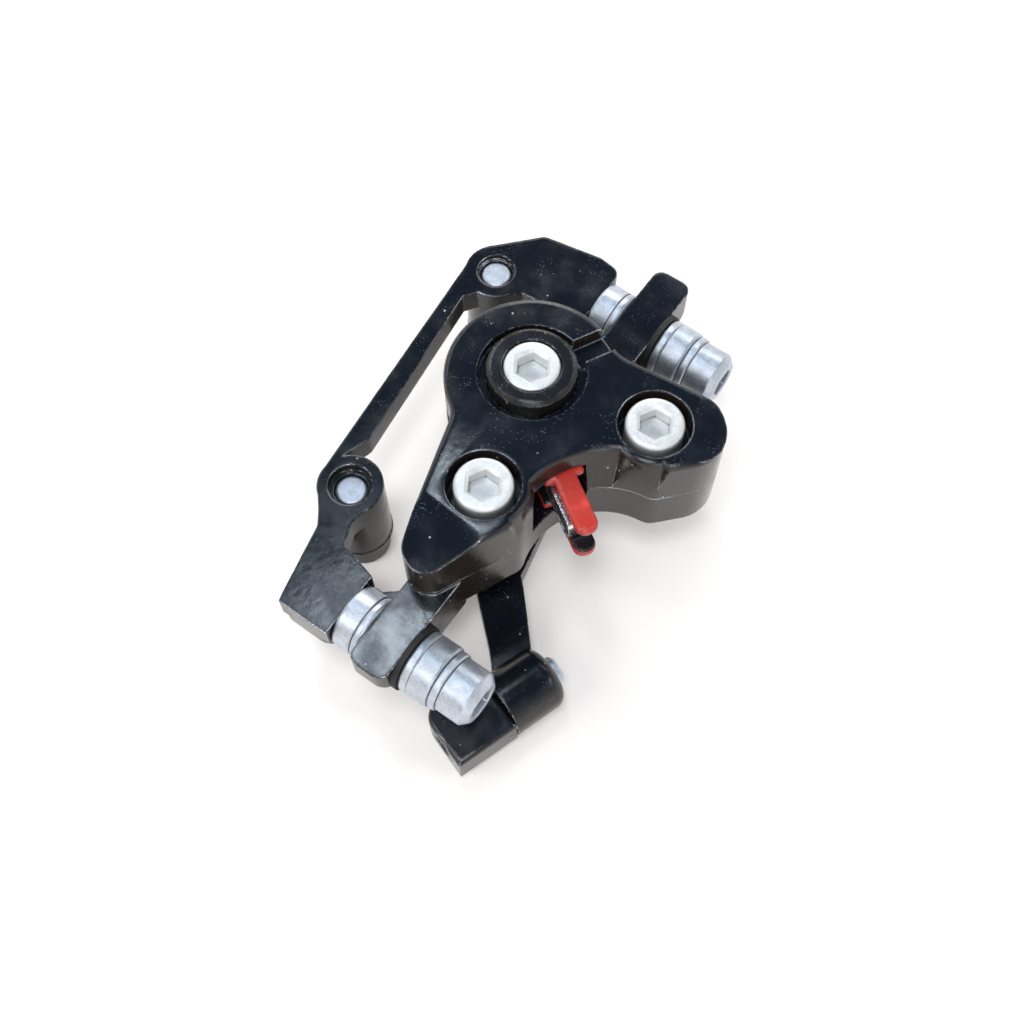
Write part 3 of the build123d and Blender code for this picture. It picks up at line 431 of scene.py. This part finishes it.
# %% [markdown]
# ## Which finish goes where
# The record names one finish for each node. Some real pieces have two: the mounting bolts are
# black below the bracket, the clamp bolt has a black head, and the dark pad tab is red on its
# sides. The bolts that face the camera get a lighter, less metallic copy of the zinc, painted
# light that brightens their heads beyond the washers. A second material is given face by face,
# by where a face lies or which way it looks, so the node stays one piece.

# %% Choose second finishes
slot_of = {part["node"]: part["material_slot"] for part in frame["record"]["subparts"]}
body_of = {name: body for body, names in frame["record"]["behaviour"]["bodies"].items() for name in names}
mounting_bolt_black_below = -12 * mm
clamp_bolt_black_before = -48 * mm
tab_side_tilt = 0.5
second_finish = {
    "is_bolts": ("black_oxide", lambda face: face.center.z < mounting_bolt_black_below),
    "is_washers": ("black_oxide", lambda face: True),
    "cable_clamp_bolt": ("black_oxide", lambda face: face.center.y < clamp_bolt_black_before),
    "outer_pad_backing": ("red_paint", lambda face: abs(face.normal.z) < tab_side_tilt),
    # Heads that face the camera take the lighter zinc copy, painted light.
    "body_bolts": ("lit_zinc", lambda face: True),
    "adjuster_screw": ("lit_zinc", lambda face: True),
}
print("nodes with a second finish:", len(second_finish))

# %% [markdown]
# ## Clean meshes
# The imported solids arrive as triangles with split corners. Joined back into flat faces they
# take soft edges well. The hex sockets of the three heads that face the camera have a lead-in
# for the key: their long top edges get a bevel weight, which a modifier turns into a chamfer.

# %% Clean a solid's mesh
join_distance = 0.0005 * mm
flat_angle = math.radians(0.3)
lead_in_width = {"body_bolts": 0.55 * mm, "adjuster_screw": 0.55 * mm}
head_top_slack = 0.01 * mm
hex_side_least = 2.0 * mm
hex_edge_angle_least = 1.0


def is_hex_edge(edge, top):
    """Whether an edge is a long side of a hex socket at the top of a bolt head."""
    level = all(top - corner.co.z < head_top_slack for corner in edge.verts)
    return level and edge.calc_length() > hex_side_least and edge.calc_face_angle(0) > hex_edge_angle_least


def clean_mesh(name):
    """Copy of a node's mesh with joined flat faces, and weights on its lead-in edges."""
    mesh = nodes[name].data.copy()
    mesh.materials.clear()
    work = bmesh.new()
    work.from_mesh(mesh)
    bmesh.ops.remove_doubles(work, verts=work.verts, dist=join_distance)
    bmesh.ops.dissolve_limit(work, angle_limit=flat_angle, verts=work.verts, edges=work.edges)
    for face in work.faces:
        face.smooth = True
    top = max(corner.co.z for corner in work.verts)
    weights = [float(is_hex_edge(edge, top)) for edge in work.edges]
    work.to_mesh(mesh)
    work.free()
    if mesh.has_custom_normals:
        mesh.attributes.remove(mesh.attributes["custom_normal"])
    if name in lead_in_width:
        mesh.attributes.new("bevel_weight_edge", "FLOAT", "EDGE").data.foreach_set("value", weights)
        print(name, "lead-in edges:", int(sum(weights)))
    return mesh


print("nodes with a lead-in:", len(lead_in_width))

# %% [markdown]
# ## Dressed pieces
# A dressed piece stands in front of its solid, which stays hidden for the simulation. Turned
# bolts and washers get real rounded edges, because their outlines show them. On the painted
# castings the rounding is left to the shader, which bends the light at an edge and costs no
# triangles.

# %% Dress the solids
sharp_angle = math.radians(32)
round_segments = 2
chamfer_segments = 1
soft_edges_mm = {
    "post_bolts": 0.18,
    "head_convex_washers": 0.28,
    "head_concave_washers": 0.28,
    "flat_washers": 0.30,
    "adapter_convex_washers": 0.28,
    "adapter_concave_washers": 0.28,
    "cable_clamp_bolt": 0.2,
    "inner_pad_backing": 0.55,
    "outer_pad_backing": 0.45,
    "is_bolts": 0.15,
}


def paint_faces(name, mesh):
    """Give a mesh its record's finish, and its second finish on the faces that have one."""
    mesh.materials.append(finishes[slot_of[name]])
    if name in second_finish:
        finish, wanted = second_finish[name]
        mesh.materials.append(finishes[finish])
        for face in mesh.polygons:
            if wanted(face):
                face.material_index = 1


def bevel(piece, title, width, segments, method):
    """A bevel modifier on a piece."""
    modifier = piece.modifiers.new(title, "BEVEL")
    modifier.width = width
    modifier.segments = segments
    modifier.limit_method = method
    return modifier


def dress(name):
    """Dressed copy of a node, on the same body."""
    mesh = clean_mesh(name)
    paint_faces(name, mesh)
    piece = bpy.data.objects.new("dressed_" + name, mesh)
    bpy.context.scene.collection.objects.link(piece)
    if name in lead_in_width:
        cut = bevel(piece, "lead_in", lead_in_width[name], chamfer_segments, "WEIGHT")
        cut.use_clamp_overlap = False
    if name in soft_edges_mm:
        rounding = bevel(piece, "edge", soft_edges_mm[name] * mm, round_segments, "ANGLE")
        rounding.angle_limit = sharp_angle
    mesh.set_sharp_from_angle(angle=sharp_angle)
    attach(piece, body_of[name])
    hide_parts(name)


for name in nodes:
    dress(name)
print("dressed pieces:", len(nodes))

# %% [markdown]
# ## Return spring
# The arm rises a little as the ramps turn, and the spring under it gets shorter by as much.
# Its upper end stays on the body. Here the dressed spring only gets a mesh of its own.

# %% Give the dressed spring a mesh of its own
spring = bpy.data.objects["dressed_return_spring"]
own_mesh(spring)

# %% [markdown]
# ## Floor
# The caliper lies on a pale, slightly warm surface. It looks almost white because its own
# colour is pale and because rays from the camera, from gloss and through glass see a little
# glow on it. That glow lights nothing, so the part keeps its shadow.

# %% Lay the floor
floor_size = 3.0
floor_colour = (0.90, 0.855, 0.81, 1)
floor_roughness = 0.9
floor_gloss = 0.1
floor_glow = 0.20

bpy.ops.mesh.primitive_plane_add(size=floor_size, location=(0, 0, cad_low.z))
floor = bpy.context.object
floor.name = "floor"
floor_white, floor_tree, floor_shader = new_material("floor_white")
floor_shader.inputs["Base Color"].default_value = floor_colour
floor_shader.inputs["Roughness"].default_value = floor_roughness
floor_shader.inputs["Specular IOR Level"].default_value = floor_gloss
rays = node(floor_tree, "LightPath")
seen = combine(floor_tree, "MAXIMUM", rays.outputs["Is Camera Ray"], rays.outputs["Is Glossy Ray"])
seen = combine(floor_tree, "MAXIMUM", seen, rays.outputs["Is Transmission Ray"])
floor_shader.inputs["Emission Color"].default_value = (1, 1, 1, 1)
put(floor_tree, floor_shader.inputs["Emission Strength"], times(floor_tree, seen, floor_glow))
floor.data.materials.append(floor_white)
print("floor at z, mm:", round(cad_low.z / mm, 2))

# %% [markdown]
# ## Lamps
# Gloss black shows little but what it mirrors. A few soft boxes light the steel and cast soft
# shadows, one small bluish panel stands where the lower ear mirrors it, and a ring of
# narrow strips draws bright lines on rounded edges without lighting the flat faces.

# %% Hang the lamps
white = (1, 1, 1)


def area_light(name, direction, distance, width, power, colour=white, height=None):
    """A soft box or strip that faces the origin from a direction, in metres and watts."""
    data = bpy.data.lights.new(name, "AREA")
    data.shape = "RECTANGLE"
    data.size = width
    data.size_y = height or width
    data.energy = power
    data.color = colour
    lamp = bpy.data.objects.new(name, data)
    lamp.location = Vector(direction).normalized() * distance
    lamp.rotation_euler = (-lamp.location).to_track_quat("-Z", "Y").to_euler()
    bpy.context.scene.collection.objects.link(lamp)


cool_white = (0.78, 0.89, 1.0)
area_light("sheen_panel", (-0.272, 0.120, 0.955), distance=0.583, width=0.075, power=0.34, colour=cool_white)
area_light("top_box", (0.10, -0.25, 0.96), distance=0.60, width=0.16, power=1.1)
area_light("side_box", (-0.30, -0.64, 0.71), distance=0.85, width=0.34, power=1.3)
area_light("back_box", (-0.45, 0.72, 0.52), distance=0.9, width=0.30, power=2.6)
area_light("front_box", (0.75, -0.70, 0.30), distance=0.9, width=0.30, power=0.8)
print("boxes and panel:", len(bpy.data.lights))

# %% Hang the ring of strips
strip_count = 5
strip_rise = 0.75
strip_first_share = 0.25
strip_distance = 0.6
strip_width = 0.30
strip_height = 0.08
strip_power = 0.40
strip_colour = (0.92, 0.97, 1.0)
for index in range(strip_count):
    turn = math.tau * (index + strip_first_share) / strip_count
    direction = (math.cos(turn), math.sin(turn), strip_rise)
    area_light("strip_%d" % index, direction, strip_distance, strip_width, strip_power,
               strip_colour, strip_height)
print("lamps:", len(bpy.data.lights))

# %% [markdown]
# ## Sky
# The world stands for the room: warm and bright near the horizon, where walls mirror it, and
# dark blue overhead, which keeps the upper faces black.

# %% Set the sky
sky_band = (0.05, 0.80)
horizon_colour = (1.0, 0.93, 0.86, 1)
overhead_colour = (0.065, 0.095, 0.155, 1)

world = bpy.data.worlds.new("studio")
bpy.context.scene.world = world
world.use_nodes = True
sky = world.node_tree
sky.nodes.clear()
way = node(sky, "TexCoord").outputs["Generated"]
height = node(sky, "SeparateXYZ", {0: way}).outputs["Z"]
tone = mix(sky, spread(sky, height, sky_band), horizon_colour, overhead_colour)
air = node(sky, "Background", {"Color": tone, "Strength": 1.0})
end = sky.nodes.new("ShaderNodeOutputWorld")
sky.links.new(air.outputs["Background"], end.inputs["Surface"])
print("sky nodes:", len(sky.nodes))
